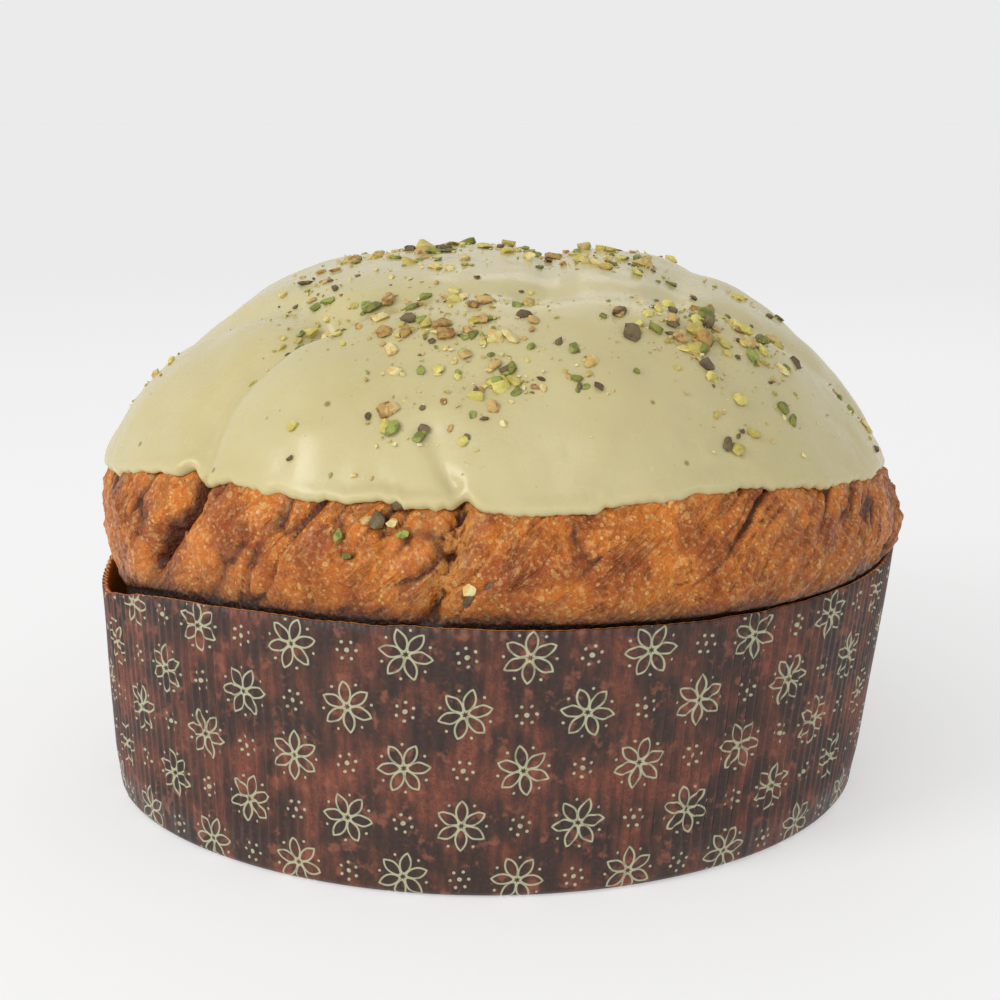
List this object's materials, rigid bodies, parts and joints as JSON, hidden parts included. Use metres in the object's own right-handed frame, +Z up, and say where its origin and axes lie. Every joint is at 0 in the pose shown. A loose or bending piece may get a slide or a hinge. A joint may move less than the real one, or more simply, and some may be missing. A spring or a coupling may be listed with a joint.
{
  "type": "panettone",
  "caption": "Low domed sweet loaf standing in its round fluted paper mould, with a poured icing cap and chopped nuts on top.",
  "frame": {"origin": "centre of the bounding box at the plane that the paper mould stands on", "axes": "+Z up out of the loaf, -Y towards the side that the picture shows, +X to the right as seen from there"},
  "size_m": [0.22, 0.2197, 0.1463],
  "materials": {
    "mould_paper": "dark brown corrugated baking paper with a pale line print and a faint grease sheen",
    "crust": "browned egg-washed crust, satin, darker in its creases",
    "icing": "smooth poured pistachio icing, softly glossy",
    "nuts": "chopped pistachio, matte cut faces and dark skins"
  },
  "bodies": {
    "root": {"paper_case": "mould_paper", "bread": "crust", "icing": "icing"}
  },
  "joints": []
}
